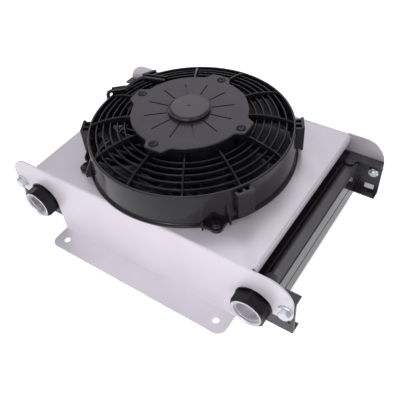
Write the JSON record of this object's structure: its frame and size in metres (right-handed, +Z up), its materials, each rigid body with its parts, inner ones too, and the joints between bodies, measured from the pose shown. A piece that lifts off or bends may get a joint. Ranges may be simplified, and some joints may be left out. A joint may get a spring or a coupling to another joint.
{
  "type": "hydraulic oil cooler",
  "caption": "Fan-cooled hydraulic oil cooler: brazed core with end tanks and hexagonal front ports, under a folded sheet shroud with drilled feet and an electric axial fan with a round grille.",
  "frame": {"origin": "centre of the rectangle under the feet, on the plane they stand on and on the fan's axis", "axes": "+Z up along the fan's axis, -Y towards the face with the oil ports, +X along the shroud's long side to the right port"},
  "size_m": [0.441, 0.337, 0.184],
  "materials": {
    "shroud_coat": "silver grey powder coat with a fine texture",
    "channel_paint": "black semi-gloss paint",
    "tank_paint": "black gloss paint",
    "core_metal": "brazed mill finish",
    "port_paint": "black paint, bare aluminium in the bore",
    "cover_plastic": "fine grained moulding",
    "fan_plastic": "semi-gloss glass-filled moulding",
    "lead_jacket": "satin sleeve",
    "zinc_plate": "bright zinc plate",
    "black_zinc": "black zinc plate",
    "can_paint": "black paint",
    "ferrite": "matte ferrite",
    "copper": "bare copper",
    "carbon": "carbon graphite",
    "steel": "ground steel",
    "label_film": "blank white film"
  },
  "bodies": {
    "cooler": {"back_core_channel": "channel_paint", "back_left_ear_bolt": "zinc_plate", "back_left_ear_nut": "zinc_plate", "back_left_ear_washer": "zinc_plate", "back_left_fan_bolt": "black_zinc", "back_left_fan_nut": "black_zinc", "back_right_ear_bolt": "zinc_plate", "back_right_ear_nut": "zinc_plate", "back_right_ear_washer": "zinc_plate", "back_right_fan_bolt": "black_zinc", "back_right_fan_nut": "black_zinc", "bearing_cap": "cover_plastic", "blank_label": "label_film", "brazed_core": "core_metal", "brush_1": "carbon", "brush_2": "carbon", "brush_plate": "fan_plastic", "cover_screw_1": "black_zinc", "cover_screw_2": "black_zinc", "cover_screw_3": "black_zinc", "cover_screw_4": "black_zinc", "fan_housing": "fan_plastic", "front_core_channel": "channel_paint", "front_left_ear_bolt": "zinc_plate", "front_left_ear_nut": "zinc_plate", "front_left_ear_washer": "zinc_plate", "front_left_fan_bolt": "black_zinc", "front_left_fan_nut": "black_zinc", "front_right_ear_bolt": "zinc_plate", "front_right_ear_nut": "zinc_plate", "front_right_ear_washer": "zinc_plate", "front_right_fan_bolt": "black_zinc", "front_right_fan_nut": "black_zinc", "lead_clip": "fan_plastic", "lead_connector": "fan_plastic", "left_port_fitting": "port_paint", "left_tank": "tank_paint", "left_tank_back_cap": "tank_paint", "left_tank_front_cap": "tank_paint", "lower_bearing": "steel", "magnet_1": "ferrite", "magnet_2": "ferrite", "magnet_3": "ferrite", "magnet_4": "ferrite", "motor_can": "can_paint", "motor_cover": "cover_plastic", "motor_lead": "lead_jacket", "right_port_fitting": "port_paint", "right_tank": "tank_paint", "right_tank_back_cap": "tank_paint", "right_tank_front_cap": "tank_paint", "shroud": "shroud_coat", "upper_bearing": "steel"},
    "fan_rotor": {"impeller": "fan_plastic", "impeller_nut": "zinc_plate", "motor_shaft": "steel", "armature": "copper", "commutator": "copper"}
  },
  "joints": [
    {"name": "fan_spin", "type": "hinge", "parent": "cooler", "child": "fan_rotor", "pos_m": [0, 0, 0.144], "axis": [0, 0, 1], "continuous": true}
  ]
}
